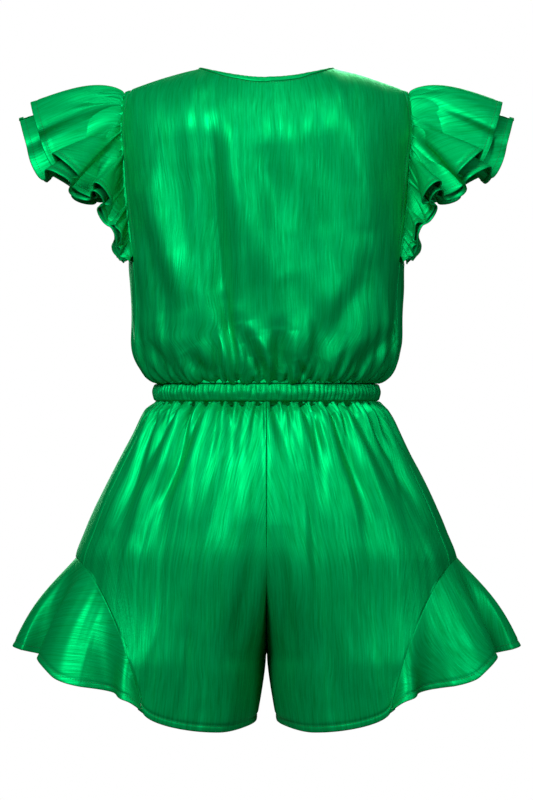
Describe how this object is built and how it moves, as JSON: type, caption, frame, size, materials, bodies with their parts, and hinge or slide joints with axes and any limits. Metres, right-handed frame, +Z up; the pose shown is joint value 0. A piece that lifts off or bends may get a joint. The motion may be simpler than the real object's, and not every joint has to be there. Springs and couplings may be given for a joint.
{
  "type": "satin romper",
  "caption": "Wrap-front satin romper in its worn form, with tiered flutter sleeves, a gathered elastic waist and shorts with side flounces.",
  "frame": {"origin": "midway between the neck points of the shoulder seams, where the garment hangs from the wearer's shoulders", "axes": "+Z up, the wearer faces -Y, the wearer's left is +X"},
  "size_m": [0.6077, 0.2954, 0.7951],
  "materials": {
    "satin": "emerald crinkled satin, glossy along the ridges",
    "casing": "the same satin, gathered over elastic",
    "binding": "the same satin, cut on the bias and folded"
  },
  "bodies": {
    "root": {"bodice_back": "satin", "bodice_front_right": "satin", "bodice_front_left": "satin", "neck_binding_back": "binding", "neck_binding_right": "binding", "neck_binding_left": "binding", "waistband": "casing", "shorts_back_left": "satin", "shorts_back_right": "satin", "shorts_front_left": "satin", "shorts_front_right": "satin", "flounce_left": "satin", "flounce_right": "satin", "sleeve_upper_left": "satin", "sleeve_upper_right": "satin", "sleeve_lower_left": "satin", "sleeve_lower_right": "satin"}
  },
  "joints": []
}
